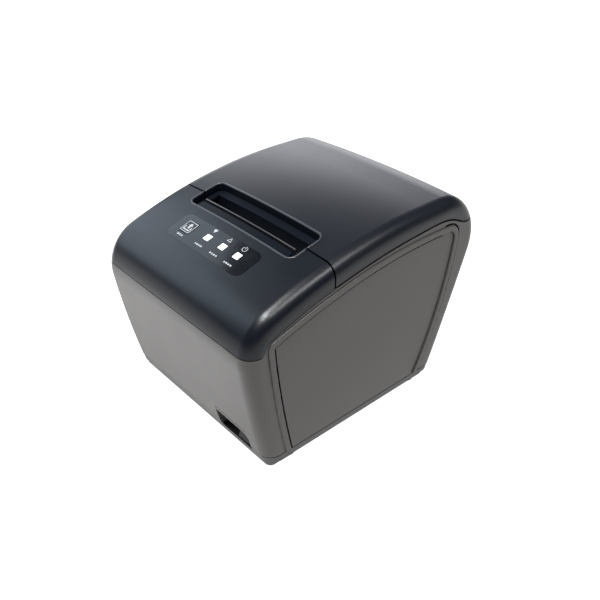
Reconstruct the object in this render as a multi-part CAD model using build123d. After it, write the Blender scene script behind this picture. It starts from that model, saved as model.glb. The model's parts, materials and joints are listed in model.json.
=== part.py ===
from build123d import *
import os
from math import acos, asin, atan2, cos, degrees, hypot, pi, radians, sin, sqrt, tan

# Desktop receipt printer for 80 mm paper rolls. Lengths are in millimetres. +Z is up, the front
# faces -Y, and the origin lies on the table under the middle of the casing.

# ---- casing -------------------------------------------------------------------------------
SIDE = 71.5  # half the width over the side walls
WALL = 2.4
BEAD, BEAD_ROUND = 4.2, 0.9  # width of the raised line round each side panel, and its rounding
GROOVE, GROOVE_DEPTH, PANEL_SINK = 1.3, 1.3, 0.2  # groove beside it, and how far the panel lies back
EDGE_R = 9.0  # round between the crown, front or rear and the side walls
FOOT_Z = -8.0  # the outline is drawn this far down, then cut at BODY_Z
BODY_Z = 10.5  # lower edge of the lower body
PAN_TOP, RIM_Z, PAD_Z = 10.05, 6.6, 5.4  # base pan's upper edge, and lower edge of its rim and pads
DOME_AXIS = Axis((0, 0, -930), (0, 1, 0))  # the crown sags sideways about this line
DOME_SWING = 10.0  # degrees turned about DOME_AXIS, more than the casing's width needs

FRONT_ARC = ((-79.0, 7.0), (-90.4, 55.5), (-98.2, 104.8))
CROWN_ARC = ((-98.2, 104.8), (-16.1, 131.1), (41.9, 136.65))
REAR_ARC = ((106.0, 137.4), (87.5, 68.7), (65.4, 0.5))
BROW_R = 29.0  # front top corner
NAPE_R = 34.5  # rear top corner

# ---- seams --------------------------------------------------------------------------------
SPLIT_Y = -34.4  # between front cover and lid
FRONT_SEAM_Z = 89.0
REAR_SEAM_Z = 115.4
COVER_GAP = 0.55  # front cover to lower body
LID_GAP = 1.3  # lid to lower body
SPLIT_GAP = 1.1  # lid to front cover

# ---- paper slot ---------------------------------------------------------------------------
TRAY_X, TRAY_FRONT, TRAY_REAR = 47.4, -45.9, -21.4
TRAY_DEPTH, TRAY_FLOOR = 4.3, 1.6
SLOT_X, SLOT_FRONT, SLOT_REAR = 42.4, -36.5, -27.0
SHELF_X, SHELF_REAR, SHELF_INSET = (-41.3, 43.2), -39.9, 1.3
BAR_Y, BAR_INSET = (-37.7, -36.9), 1.5

# ---- control panel ------------------------------------------------------------------------
PANEL_Y = -62.85
PANEL_X = (-37.4, 34.2)
PANEL_HALF = 10.3  # half its length up the slope
PANEL_R = 5.5
OVERLAY_T = 0.6
BUTTON_X, BUTTON_V = -25.1, 0.8  # v runs up the slope from the panel's middle
BUTTON_SIZE = (9.5, 9.9)
BUTTON_TRAVEL = 0.6
LED_X = (-7.1, 7.2, 20.6)
LED_V = 1.3
LED_SIZE = (4.6, 4.5)
PANEL_POSTS = (-14.5, 30.0)  # x of the two posts behind the panel
PANEL_BOARD_W = (-8.6, -7.0)  # rear and front of the panel board, measured from the crown

# ---- lid hinge, roll and print mechanism --------------------------------------------------
HINGE_Y, HINGE_Z = 88.4, 107.0
HINGE_X = (33.3, 40.7)  # width of one lid arm
PIN_R = 1.5
ROLL_Y, ROLL_Z, ROLL_R = 26.0, 61.5, 42.0
BUCKET_X = 41.6
DECK_Z = 103.0
PLATEN_Y, PLATEN_Z, PLATEN_R = -25.4, 103.0, 6.5
SHAFT_R = 3.0
PLATE_X, PLATE_T = 44.0, 1.2  # inner face and thickness of the mechanism's side plates
BLADE_Z = 112.5
CRANK_X, CRANK_Y, CRANK_ARM = 18.0, -45.5, 2.5
HEAD_PIVOT = (-38.5, 91.5)
BRACKET_Z = (113.45, 114.65)
BRACKET_X, BRACKET_SCREW_Y = (-30.0, 30.0), -18.5
CUTTER_SCREW_Y, CUTTER_SCREW_Z = (-49.5, -39.0), 111.2

# ---- gears --------------------------------------------------------------------------------
FEED_MODULE = 0.8
PLATEN_TEETH, IDLER_TEETH, PINION_TEETH = 20, 36, 14
CUT_MODULE = 0.5
CRANK_TEETH, CUT_PINION_TEETH = 36, 12
GEAR_X = (-50.0, -46.2)
CENTRE_SLACK = 0.05
PRESSURE = radians(20)
PINION_ANGLE = radians(215)  # from the idler's centre to the motor's, in the YZ plane
CUT_ANGLE = radians(-60)  # from the crank's centre to the cutter motor's, in the XY plane

# ---- switch and ports ---------------------------------------------------------------------
SWITCH_X, SWITCH_TOP = (23.5, 55.0), 21.0
ROCKER_X, ROCKER_Y, ROCKER_Z, ROCKER_R = (41.0, 51.0), -74.0, 13.6, 6.8
PORT_X, PORT_TOP = 58.0, 31.0
IO_Y = 61.8
BOARD_Z = (5.0, 6.6)
DRAWER_X, USB_X, LAN_X, SERIAL_X, POWER_X = 27.0, 9.0, -11.0, -39.0, 48.0
DRAWER_SIZE, USB_SIZE, LAN_SIZE = (13.4, 12.6), (12.0, 11.0), (16.2, 13.4)  # width and height
POWER_SIZE, SERIAL_SIZE = (14.0, 13.6), (19.6, 12.6)

# ---- screw and foot positions, x and y ----------------------------------------------------
BOSS_SPOTS = [(sx * 64.0, y) for sx in (-1, 1) for y in (-60.0, 50.0)]
DECK_SPOTS = [(sx * 63.5, y) for sx in (-1, 1) for y in (2.0, 62.0)]
FOOT_SPOTS = [(sx * 50.0, y) for sx in (-1, 1) for y in (-64.5, 52.5)]
BOARD_SPOTS = [(sx * 54.0, y) for sx in (-1, 1) for y in (-26.0, 40.0)]

FAR = 400.0


# ---- small helpers ------------------------------------------------------------------------
def circle_through(a, b, c):
    """Centre and radius of the circle through three points."""
    d = 2 * (a[0] * (b[1] - c[1]) + b[0] * (c[1] - a[1]) + c[0] * (a[1] - b[1]))
    sa, sb, sc = (p[0] ** 2 + p[1] ** 2 for p in (a, b, c))
    u = (sa * (b[1] - c[1]) + sb * (c[1] - a[1]) + sc * (a[1] - b[1])) / d
    v = (sa * (c[0] - b[0]) + sb * (a[0] - c[0]) + sc * (b[0] - a[0])) / d
    return u, v, hypot(a[0] - u, a[1] - v)


def front_y(z):
    """Outer face of the front wall at height z."""
    u, v, r = circle_through(*FRONT_ARC)
    return u - sqrt(r**2 - (z - v) ** 2)


def rear_y(z):
    """Outer face of the rear wall at height z, below the rounded top."""
    u, v, r = circle_through(*REAR_ARC)
    return u + sqrt(r**2 - (z - v) ** 2)


def crown_z(y):
    """Height of the crown along the middle of the casing, forward of its crest."""
    u, v, r = circle_through(*CROWN_ARC)
    return v + sqrt(r**2 - (y - u) ** 2)


def block(x, y, z):
    """Box between the pairs of limits x, y and z."""
    size = [b - a for a, b in (x, y, z)]
    centre = [(a + b) / 2 for a, b in (x, y, z)]
    return Pos(*centre) * Box(*size)


def mirrored(x):
    """The same pair of limits on the other side of the middle."""
    return (-x[1], -x[0])


def rod(radius, x, y, z):
    """Cylinder along X between the limits x."""
    return Pos((x[0] + x[1]) / 2, y, z) * Rot(0, 90, 0) * Cylinder(radius, x[1] - x[0])


def post(radius, x, y, z):
    """Cylinder along Z between the limits z."""
    return Pos(x, y, (z[0] + z[1]) / 2) * Cylinder(radius, z[1] - z[0])


def bolt(radius, x, y, z):
    """Cylinder along Y between the limits y."""
    return Pos(x, (y[0] + y[1]) / 2, z) * Rot(90, 0, 0) * Cylinder(radius, y[1] - y[0])


def slab(sketch, x):
    """A sketch of the YZ plane, as thick as the limits x."""
    return extrude(Pos(x[0], 0, 0) * (Plane.YZ * sketch), x[1] - x[0])


def poly(points):
    return make_face(Polyline(*points, close=True))


def prism(x, y, r, z=(60, 180)):
    """Upright prism with rounded corners."""
    plan = RectangleRounded(x[1] - x[0], y[1] - y[0], r)
    return Pos((x[0] + x[1]) / 2, (y[0] + y[1]) / 2, z[0]) * extrude(plan, z[1] - z[0])


def joined(shapes):
    """Several pieces as one shape."""
    shapes = list(shapes)
    total = shapes[0]
    for shape in shapes[1:]:
        total = total + shape
    return total


# ---- casing blanks ------------------------------------------------------------------------
def crossing(first, second, near):
    """Where two circles cross nearest to a point."""
    (u1, v1, r1), (u2, v2, r2) = first, second
    span = hypot(u2 - u1, v2 - v1)
    along = (r1**2 - r2**2 + span**2) / (2 * span)
    across = sqrt(r1**2 - along**2)
    du, dv = (u2 - u1) / span, (v2 - v1) / span
    both = [(u1 + along * du - s * across * dv, v1 + along * dv + s * across * du) for s in (-1, 1)]
    return min(both, key=lambda p: hypot(p[0] - near[0], p[1] - near[1]))


def short_arc(circle, start, end):
    """Arc of a circle, the short way from start to end."""
    u, v, r = circle
    middle = Vector(start[0] + end[0] - 2 * u, start[1] + end[1] - 2 * v).normalized() * r
    return ThreePointArc(start, (u + middle.X, v + middle.Y), end)


def outline(inset):
    """Side outline of the casing in the YZ plane, inset from the outer skin."""
    circles = [circle_through(*arc) for arc in (FRONT_ARC, CROWN_ARC, REAR_ARC)]
    front, crown, rear = ((u, v, r - inset) for u, v, r in circles)
    brow = crossing(front, crown, FRONT_ARC[2])
    outward = Vector(CROWN_ARC[2][0] - crown[0], CROWN_ARC[2][1] - crown[1]).normalized()
    crest = Vector(crown[0], crown[1]) + outward * crown[2]
    straight = Vector(outward.Y, -outward.X)
    back = crest - Vector(rear[0], rear[1])
    reach = sqrt(back.dot(straight) ** 2 - back.dot(back) + rear[2] ** 2) - back.dot(straight)
    nape = crest + straight * reach
    nape, crest = (nape.X, nape.Y), (crest.X, crest.Y)
    front_foot = (front[0] - sqrt(front[2] ** 2 - (FOOT_Z - front[1]) ** 2), FOOT_Z)
    rear_foot = (rear[0] + sqrt(rear[2] ** 2 - (FOOT_Z - rear[1]) ** 2), FOOT_Z)
    edges = [
        short_arc(front, front_foot, brow),
        short_arc(crown, brow, crest),
        Line(crest, nape),
        short_arc(rear, nape, rear_foot),
        Line(rear_foot, front_foot),
    ]
    face = make_face(Curve() + edges)
    for corner, radius in ((brow, BROW_R), (nape, NAPE_R)):
        face = fillet(face.vertices().sort_by_distance(Vector(*corner, 0))[0], radius - inset)
    return Plane.YZ * face


BLANKS = {}


def blank(inset=0.0):
    """Whole casing as a solid, inset from the outer skin, made once for each inset."""
    if inset not in BLANKS:
        side = SIDE - inset
        turned = revolve(outline(inset), axis=DOME_AXIS, revolution_arc=DOME_SWING)
        turned = turned.rotate(DOME_AXIS, -DOME_SWING / 2)
        for way in (-1, 1):
            turned = turned - Pos(way * (side + FAR / 2), 0, 0) * Box(FAR, FAR, FAR)
        sides = [f for f in turned.faces() if abs(abs(f.center().X) - side) < 0.01]
        rims = [e for f in sides for e in f.edges() if e.center().Z > 0]
        BLANKS[inset] = fillet(rims, max(EDGE_R - inset, 1.5))
    return BLANKS[inset]


def within(shape, inset):
    """The part of a shape that lies inside the skin at this inset."""
    return shape - (Box(2 * FAR, 2 * FAR, 2 * FAR) - blank(inset))


def below_seam(raised=0.0):
    """Everything under the seam between the lower body and the covers."""
    step, ramp, split = (-85.2, FRONT_SEAM_Z), (-81.0, 96.0), (SPLIT_Y, 110.8)
    crest = [split, (8.0, 118.4), (45.0, 121.7), (62.0, 121.6), (70.0, 119.4), (78.0, 115.9)]
    tail = (86.0, REAR_SEAM_Z)
    edges = [
        Line((-FAR / 2, FRONT_SEAM_Z), step),
        Line(step, ramp),
        ThreePointArc(ramp, (-60.0, 103.8), split),
        Spline(*crest, tail),
        Line(tail, (FAR / 2, REAR_SEAM_Z)),
        Line((FAR / 2, REAR_SEAM_Z), (FAR / 2, -FAR / 2)),
        Line((FAR / 2, -FAR / 2), (-FAR / 2, -FAR / 2)),
        Line((-FAR / 2, -FAR / 2), (-FAR / 2, FRONT_SEAM_Z)),
    ]
    face = make_face(Curve() + edges)
    return Pos(0, 0, raised) * slab(face, (-FAR / 2, FAR / 2))


def above_seam():
    return Box(FAR, FAR, FAR) - below_seam()


# ---- gears --------------------------------------------------------------------------------
def gear_face(teeth, module, phase, thinning=0.05):
    """Involute gear in its own plane, with the middle of one tooth at the angle phase."""
    pitch_r = teeth * module / 2
    base_r = pitch_r * cos(PRESSURE)
    tip_r, root_r = pitch_r + 0.85 * module, pitch_r - 1.2 * module

    def involute(r):
        turn = acos(min(1.0, base_r / r))
        return tan(turn) - turn

    half = pi / (2 * teeth) - thinning / pitch_r + involute(pitch_r)
    start_r = max(base_r, root_r)
    flank = [start_r + (tip_r - start_r) * step / 3 for step in range(4)]
    points = []
    for tooth in range(teeth):
        middle = phase + 2 * pi * tooth / teeth
        rising = [(root_r, half)] + [(r, half - involute(r)) for r in flank]
        for r, spread in rising:
            points.append((r * cos(middle - spread), r * sin(middle - spread)))
        for r, spread in reversed(rising):
            points.append((r * cos(middle + spread), r * sin(middle + spread)))
    return poly(points)


def feed_gear(teeth, y, z, phase, bore):
    face = Pos(y, z) * (gear_face(teeth, FEED_MODULE, phase) - Circle(bore))
    return slab(face, GEAR_X)


IDLER_Z = PLATEN_Z - FEED_MODULE * (PLATEN_TEETH + IDLER_TEETH) / 2 - CENTRE_SLACK
PINION_REACH = FEED_MODULE * (IDLER_TEETH + PINION_TEETH) / 2 + CENTRE_SLACK
MOTOR_Y = PLATEN_Y + PINION_REACH * cos(PINION_ANGLE)
MOTOR_Z = IDLER_Z + PINION_REACH * sin(PINION_ANGLE)
CUT_REACH = CUT_MODULE * (CRANK_TEETH + CUT_PINION_TEETH) / 2 + CENTRE_SLACK
CUT_MOTOR_X = CRANK_X + CUT_REACH * cos(CUT_ANGLE)
CUT_MOTOR_Y = CRANK_Y + CUT_REACH * sin(CUT_ANGLE)


# ---- panel frame --------------------------------------------------------------------------
PANEL_TILT = degrees(asin((circle_through(*CROWN_ARC)[0] - PANEL_Y) / circle_through(*CROWN_ARC)[2]))
PANEL = Pos(0, PANEL_Y, crown_z(PANEL_Y)) * Rot(PANEL_TILT, 0, 0)


def panel_block(x, v, w, size, r, grow=0.0):
    """Rounded block at x, v on the panel, between the limits w along its normal."""
    plan = RectangleRounded(size[0] + 2 * grow, size[1] + 2 * grow, r)
    return PANEL * Pos(x, v, w[0]) * extrude(plan, w[1] - w[0])


PANEL_MID = sum(PANEL_X) / 2
PANEL_SIZE = (PANEL_X[1] - PANEL_X[0], 2 * PANEL_HALF)


# ---- casing parts -------------------------------------------------------------------------
def bead_face(inset):
    """Raised line on the side wall, closed below the body's lower edge."""
    top_front, top_rear = (-82.2, 94.8), (75.2, 117.4)
    edges = [
        ThreePointArc((-62.0, -10.0), (-75.6, 50.0), top_front),
        ThreePointArc(top_front, (-60.5, 101.9), (-32.7, 109.0)),
        ThreePointArc((-32.7, 109.0), (19.5, 117.2), top_rear),
        ThreePointArc(top_rear, (68.0, 60.0), (41.5, -10.0)),
        Line((41.5, -10.0), (-62.0, -10.0)),
    ]
    face = make_face(Curve() + edges)
    for corner, radius in ((top_front, 5.5), (top_rear, 11.0)):
        face = fillet(face.vertices().sort_by_distance(Vector(*corner, 0))[0], radius)
    if inset:
        face = offset(face, -inset, kind=Kind.INTERSECTION)
    return face


def side_bead():
    """Soft ridge that frames the right side panel."""
    ridge = slab(bead_face(0.0), (SIDE - 0.2, SIDE + 1.0)) - slab(bead_face(BEAD), (SIDE - 1, SIDE + 2))
    ridge = ridge - block((0, FAR), (-FAR, FAR), (-FAR, BODY_Z + 0.4))
    top = ridge.faces().sort_by(Axis.X)[-1]
    return fillet(top.edges(), BEAD_ROUND)


def bead_groove():
    """Fine groove beside the ridge: inside it above and in front, outside it at the rear."""
    depth = (SIDE - GROOVE_DEPTH, SIDE + 2)
    inner = slab(bead_face(BEAD), depth) - slab(bead_face(BEAD + GROOVE), depth)
    outer = slab(bead_face(-GROOVE), depth) - slab(bead_face(0.0), depth)
    rear = slab(poly([(63.0, 130.0), (26.0, 0.0), (FAR, 0.0), (FAR, 130.0)]), depth)
    return (inner - rear) + (outer & rear)


def lower_body():
    outer = blank() - block((-FAR, FAR), (-FAR, FAR), (-FAR, BODY_Z))
    outer = fillet(outer.edges().group_by(Axis.Z)[0], 0.7)
    body = outer - blank(WALL) - above_seam()
    panel = slab(bead_face(BEAD), (SIDE - PANEL_SINK, SIDE + 1)) + bead_groove()
    body = body - panel - panel.mirror(Plane.YZ)
    ridge = side_bead()
    body = body + ridge + ridge.mirror(Plane.YZ)

    top = 22.8
    pocket = poly([(-64.0, BODY_Z), (front_y(BODY_Z) + 1.3, BODY_Z), (front_y(top) + 1.3, top), (-64.0, top)])
    body = body + slab(pocket, (SWITCH_X[0] - 1.6, SWITCH_X[1] + 1.6))
    body = body - switch_opening()
    body = body - switch_line()

    hood = poly([(IO_Y, BODY_Z), (IO_Y, 32.6), (rear_y(32.6) - 1.2, 32.6), (rear_y(BODY_Z) - 1.2, BODY_Z)])
    body = body + slab(hood, (-PORT_X - 1.8, PORT_X + 1.8))
    body = body - prism((-PORT_X, PORT_X), (IO_Y - 20, 110), 0.5, (0, PORT_TOP))

    for x, y in BOSS_SPOTS:
        body = body + post(5.2, x, y, (BODY_Z - 0.1, 26)) - post(1.45, x, y, (0, 22))
    for x, y in DECK_SPOTS:
        body = body + post(5.8, x, y, (70, DECK_Z - 2.2)) - post(1.45, x, y, (88, 104))
    swing = block((-FAR, FAR), (HINGE_Y, FAR), (110, 130)) - rod(8.9, (-FAR, FAR), HINGE_Y, HINGE_Z)
    return body - swing


def switch_opening():
    """Clear space in front of the power switch, open below."""
    left, right = SWITCH_X
    plan = poly([(left, -4), (right, -4), (right, SWITCH_TOP), (left, SWITCH_TOP)])
    for corner, radius in (((SWITCH_X[1], SWITCH_TOP), 4.5), ((SWITCH_X[0], SWITCH_TOP), 1.5)):
        plan = fillet(plan.vertices().sort_by_distance(Vector(*corner, 0))[0], radius)
    return extrude(Pos(0, -65.8, 0) * (Plane.XZ * plan), 40)


def switch_line():
    """Fine groove above the switch opening."""
    z = (23.3, 23.9)
    face = poly([(-100, z[0]), (front_y(z[0]) + 0.6, z[0]), (front_y(z[1]) + 0.6, z[1]), (-100, z[1])])
    return slab(face, (SWITCH_X[0] + 0.2, SWITCH_X[1] - 1.0))


def pan_rim():
    """Rim of the base pan, flush with the body above it and deeper at the front corners."""
    rim = blank(0.25) - block((-FAR, FAR), (-FAR, FAR), (PAN_TOP, FAR)) - blank(3.2)
    rim = rim - block((-FAR, FAR), (-FAR, FAR), (-FAR, PAD_Z))
    rim = rim - block((-FAR, FAR), (-64.0, FAR), (-FAR, RIM_Z))
    return rim - block((-62.0, SWITCH_X[1]), (-FAR, FAR), (-FAR, RIM_Z))


def base_pan():
    """Bottom plate with a drawn-in skirt, stand-offs and screw holes."""
    plan = RectangleRounded(139.4, 145.0, 6.0)
    skirt = Pos(0, -6.0, RIM_Z + 1.6) * extrude(plan, 7.0, dir=(0, 0, -1), taper=14)
    hollow = Pos(0, -5.9, 3.2) * extrude(RectangleRounded(131.6, 137.2, 5.0), 8)
    pan = skirt + pan_rim() - hollow
    for x, y in BOSS_SPOTS:
        pan = pan + post(5.0, x, y, (2.0, PAN_TOP))
    for x, y in BOARD_SPOTS:
        pan = pan + post(3.0, x, y, (2.0, BOARD_Z[0] - 0.02)) - post(1.2, x, y, (2.4, 10))
    pan = pan - block((-PORT_X, PORT_X), (60, 90), (4.4, 12))
    pan = pan + block((SWITCH_X[0] - 1.6, SWITCH_X[1] + 1.6), (-77.0, -64.0), (3.0, PAN_TOP))
    pan = pan - block(SWITCH_X, (-90, -65.8), (PAD_Z, 12))
    for x, y in BOSS_SPOTS:
        pan = pan - post(1.6, x, y, (0, 12)) - post(3.2, x, y, (0, 4.6))
    for x, y in FOOT_SPOTS:
        pan = pan - post(6.6, x, y, (0, 2.0))
    for row in range(7):
        y = -34.0 + 9.0 * row
        pan = pan - block((-22, 22), (y, y + 3.0), (0, 3.3))
    return pan


def rubber_feet():
    feet = [post(6.4, x, y, (0.0, 1.95)) for x, y in FOOT_SPOTS]
    return joined(fillet(f.edges().group_by(Axis.Z)[0], 0.5) for f in feet)


def base_screws():
    return joined(post(2.9, x, y, (3.0, 4.5)) + post(1.4, x, y, (4.5, 20)) for x, y in BOSS_SPOTS)


def tray_hollow(depth):
    """Air of the tray round the paper slot, down to this inset."""
    return prism((-TRAY_X, TRAY_X), (TRAY_FRONT, TRAY_REAR), 4.5) - blank(depth)


def top_skin():
    """Both top covers in one, with the tray and the paper slot cut."""
    tray_block = prism((-TRAY_X - 2, TRAY_X + 2), (TRAY_FRONT - 2, TRAY_REAR + 2), 5.0)
    skin = blank() - (blank(WALL) - tray_block) - blank(TRAY_DEPTH + TRAY_FLOOR)
    shelf = prism(SHELF_X, (TRAY_FRONT - 9, SHELF_REAR), 2.0)
    skin = skin - (tray_hollow(TRAY_DEPTH) - shelf) - tray_hollow(SHELF_INSET)
    skin = skin - block((-SLOT_X, SLOT_X), (SLOT_FRONT, SLOT_REAR), (60, 180))
    chute = block((-SLOT_X - 1, SLOT_X + 1), (SLOT_REAR, SLOT_REAR + 1.2), (BRACKET_Z[1] + 0.35, 180))
    return skin + within(chute, TRAY_DEPTH + 0.4) - below_seam()


TOP_SKIN = []


def top_part():
    if not TOP_SKIN:
        TOP_SKIN.append(top_skin())
    return TOP_SKIN[0]


def front_cover():
    rear = block((-FAR, FAR), (SPLIT_Y - SPLIT_GAP / 2, FAR), (-FAR, FAR))
    cover = top_part() - rear - below_seam(COVER_GAP)
    pocket = panel_block(PANEL_MID, 0, (-3, 6), PANEL_SIZE, PANEL_R, 0.12) - blank(OVERLAY_T + 0.1)
    cover = cover - pocket
    cover = cover - panel_block(BUTTON_X, BUTTON_V, (-12, 6), BUTTON_SIZE, 1.0, 0.2)
    for x in LED_X:
        cover = cover - panel_block(x, LED_V, (-12, 6), LED_SIZE, 0.4, 0.05)
    for x in PANEL_POSTS:
        cover = cover + PANEL * Pos(x, 0, 0) * post(2.6, 0, 0, (PANEL_BOARD_W[1] + 0.02, -1.5))
        cover = cover - PANEL * Pos(x, 0, 0) * post(0.9, 0, 0, (-12, -3.5))
    return cover


def lid_cover():
    front = block((-FAR, FAR), (-FAR, SPLIT_Y + SPLIT_GAP / 2), (-FAR, FAR))
    cover = top_part() - front - below_seam(LID_GAP)
    for x in BRACKET_X:
        boss = post(3.6, x, BRACKET_SCREW_Y, (BRACKET_Z[1] + 0.02, crown_z(BRACKET_SCREW_Y) - 2.0))
        cover = cover + (boss - tray_hollow(TRAY_DEPTH)) - post(1.2, x, BRACKET_SCREW_Y, (100, 120))
    return cover


def lid_liner():
    """Inner skin of the lid with its two hinge arms."""
    liner = blank(5.6) - blank(7.4) - below_seam(2.2)
    for y in ((-FAR, -10), (84, FAR)):
        liner = liner - block((-FAR, FAR), y, (-FAR, FAR))
    for x in (-52.0, 52.0):
        for y in (8.0, 58.0):
            spacer = within(post(3.4, x, y, (100, 160)), WALL + 0.02) - blank(6.0)
            liner = liner + spacer
    knee, root = (74.0, 107.2), (66.0, CROWN_ARC[2][1] - 7.0)
    arm = Pos(HINGE_Y, HINGE_Z) * Circle(3.2)
    for a, b in (((HINGE_Y, HINGE_Z), knee), (knee, root)):
        length, turn = hypot(b[0] - a[0], b[1] - a[1]), degrees(atan2(b[1] - a[1], b[0] - a[0]))
        middle = ((a[0] + b[0]) / 2, (a[1] + b[1]) / 2)
        arm = arm + Pos(*middle) * Rot(0, 0, turn) * SlotCenterToCenter(length, 3.6)
    arm = arm - Pos(HINGE_Y, HINGE_Z) * Circle(PIN_R + 0.05)
    for x in (HINGE_X, mirrored(HINGE_X)):
        liner = liner + (slab(arm, x) - (Box(FAR, FAR, FAR) - blank(5.7)))
    return liner


def hinge_pins():
    reach = (HINGE_X[0] - 3.4, HINGE_X[1] + 3.4)
    return joined(rod(PIN_R, x, HINGE_Y, HINGE_Z) for x in (reach, mirrored(reach)))


# ---- control panel ------------------------------------------------------------------------
def panel_overlay():
    film = panel_block(PANEL_MID, 0, (-3, 6), PANEL_SIZE, PANEL_R - 0.1) - blank(OVERLAY_T)
    film = within(film, 0.04)
    film = film - panel_block(BUTTON_X, BUTTON_V, (-3, 6), BUTTON_SIZE, 1.0, 0.2)
    for x in LED_X:
        film = film - panel_block(x, LED_V, (-3, 6), LED_SIZE, 0.4, 0.05)
    return film


def feed_button():
    cap = panel_block(BUTTON_X, BUTTON_V, (-3.6, -0.05), BUTTON_SIZE, 0.8)
    cap = fillet(cap.faces().sort_by(Axis.Z)[-1].edges(), 0.25)
    flange = panel_block(BUTTON_X, BUTTON_V, (-3.9, -2.9), BUTTON_SIZE, 0.8, 1.2)
    return cap + flange


def led_windows():
    return joined(within(panel_block(x, LED_V, (-6.2, 3), LED_SIZE, 0.4), 0.02) for x in LED_X)


def panel_board():
    board = panel_block(0.0, 0.0, PANEL_BOARD_W, (66.0, 15.0), 1.0)
    for x in PANEL_POSTS:
        board = board - PANEL * Pos(x, 0, 0) * post(1.1, 0, 0, (-12, 0))
    for x in LED_X:
        board = board + panel_block(x, LED_V, (PANEL_BOARD_W[1], -6.4), (2.0, 1.3), 0.2)
    return board


def panel_screws():
    screw = post(1.9, 0, 0, (-9.9, -8.6)) + post(0.85, 0, 0, (-8.6, -4.5))
    return joined(PANEL * Pos(x, 0, 0) * screw for x in PANEL_POSTS)


def feed_switch():
    """Tactile switch under the feed button."""
    body = panel_block(BUTTON_X, BUTTON_V, (-7.0, -5.2), (6.0, 6.0), 0.4)
    return body + PANEL * Pos(BUTTON_X, BUTTON_V, 0) * post(1.7, 0, 0, (-5.2, -3.9 - BUTTON_TRAVEL - 0.1))


def tear_bar():
    """Serrated steel edge at the front of the slot."""
    bar = block((-42.0, 42.0), BAR_Y, (100, 150))
    teeth = [Pos(-41.3 + 1.4 * n, 0, 0) * tooth_gap() for n in range(60)]
    bar = within(bar, BAR_INSET) - blank(TRAY_DEPTH - 0.02)
    return bar - teeth


def tooth_gap():
    """One V-shaped gap between two teeth of the tear bar."""
    tip = crown_z(BAR_Y[0]) - BAR_INSET - 0.7
    face = make_face(Polyline((0, tip), (0.6, tip + 1.6), (-0.6, tip + 1.6), close=True))
    return extrude(Pos(0, BAR_Y[1] + 0.5, 0) * (Plane.XZ * face), 1.8)


# ---- paper bucket -------------------------------------------------------------------------
def bucket_section(grow):
    """Outline of the roll's space, round below and open upwards, grown by this much."""
    front, rear = ROLL_Y - ROLL_R, ROLL_Y + ROLL_R
    upper = poly([(front, ROLL_Z), (front, 130), (rear, 130), (rear, ROLL_Z)])
    return offset(upper + Pos(ROLL_Y, ROLL_Z) * Circle(ROLL_R), grow)


def paper_bucket():
    """Tub for the roll, the deck round it, and the lid's hinge ears."""
    tub = slab(bucket_section(2.0), (-BUCKET_X - 2, BUCKET_X + 2))
    deck = within(block((-80, 80), (-14.0, 91.5), (DECK_Z - 2, DECK_Z)), WALL + 0.3)
    wings = within(block((51.5, 80), (-33.0, -13.0), (DECK_Z - 2, DECK_Z)), WALL + 0.3)
    bucket = tub + deck + wings + wings.mirror(Plane.YZ)
    for x in (HINGE_X[0] - 1.7, HINGE_X[1] + 1.7):
        stem = poly([(85.0, 101.5), (91.4, 101.5), (91.7, 107), (85.1, 107)])
        ear = slab(Pos(HINGE_Y, HINGE_Z) * Circle(3.4) + stem, (x - 1.5, x + 1.5))
        bucket = bucket + ear + ear.mirror(Plane.YZ)
    bucket = bucket - slab(bucket_section(0.0), (-BUCKET_X, BUCKET_X))
    bucket = bucket - block((-FAR, FAR), (-FAR, 85), (DECK_Z, FAR))
    bucket = bucket - block((-60, 60), (-30, -14), (95, FAR))
    bucket = bucket - rod(PIN_R + 0.02, (-60, 60), HINGE_Y, HINGE_Z)
    for x, y in DECK_SPOTS:
        bucket = bucket - post(1.6, x, y, (95, 110))
    return bucket - rod(3.0, (-46, -40), 27.0, 34.0)


def chassis_screws():
    seat = DECK_Z + 0.02
    return joined(post(2.8, x, y, (seat, DECK_Z + 1.8)) + post(1.4, x, y, (90, seat)) for x, y in DECK_SPOTS)


def near_end_sensor():
    """Optical sensor on the tub's side that watches the roll's size."""
    body = block((-50.0, -43.65), (20.0, 34.0), (27.0, 42.0))
    return body + rod(2.7, (-44.0, -42.0), 27.0, 34.0)


# ---- print mechanism ----------------------------------------------------------------------
def plate_section():
    """Outline of one side plate, with the open notch for the platen's bearing."""
    face = poly([(-58, 50), (-19, 50), (-19, 111), (-36, 113), (-53, 113), (-58, 96)])
    notch = Pos(PLATEN_Y, PLATEN_Z) * Circle(4.2) + Pos(PLATEN_Y, PLATEN_Z + 10) * Rectangle(8.4, 20)
    return face - notch


def mechanism_frame():
    """Side plates joined by a front cross member."""
    plates = {}
    for side, x in ((-1, mirrored((PLATE_X, PLATE_X + PLATE_T))), (1, (PLATE_X, PLATE_X + PLATE_T))):
        plates[side] = slab(plate_section(), x) - rod(1.52, x, *HEAD_PIVOT)
        for y in CUTTER_SCREW_Y:
            plates[side] = plates[side] - rod(1.0, x, y, CUTTER_SCREW_Z)
    left = plates[-1] - rod(4.0, (-50, -40), MOTOR_Y, MOTOR_Z) - rod(2.02, (-50, -40), PLATEN_Y, IDLER_Z)
    member = block((-PLATE_X - 0.5, PLATE_X + 0.5), (-45.4, -44.2), (94.0, 105.0))
    foot = block((-PLATE_X - 0.5, PLATE_X + 0.5), (-58.0, -56.8), (50.0, 60.0))
    back = block((-PLATE_X - 0.5, PLATE_X + 0.5), (-19.6, -18.3), (66.0, 90.0))
    return left + plates[1] + member + foot + back


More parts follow.
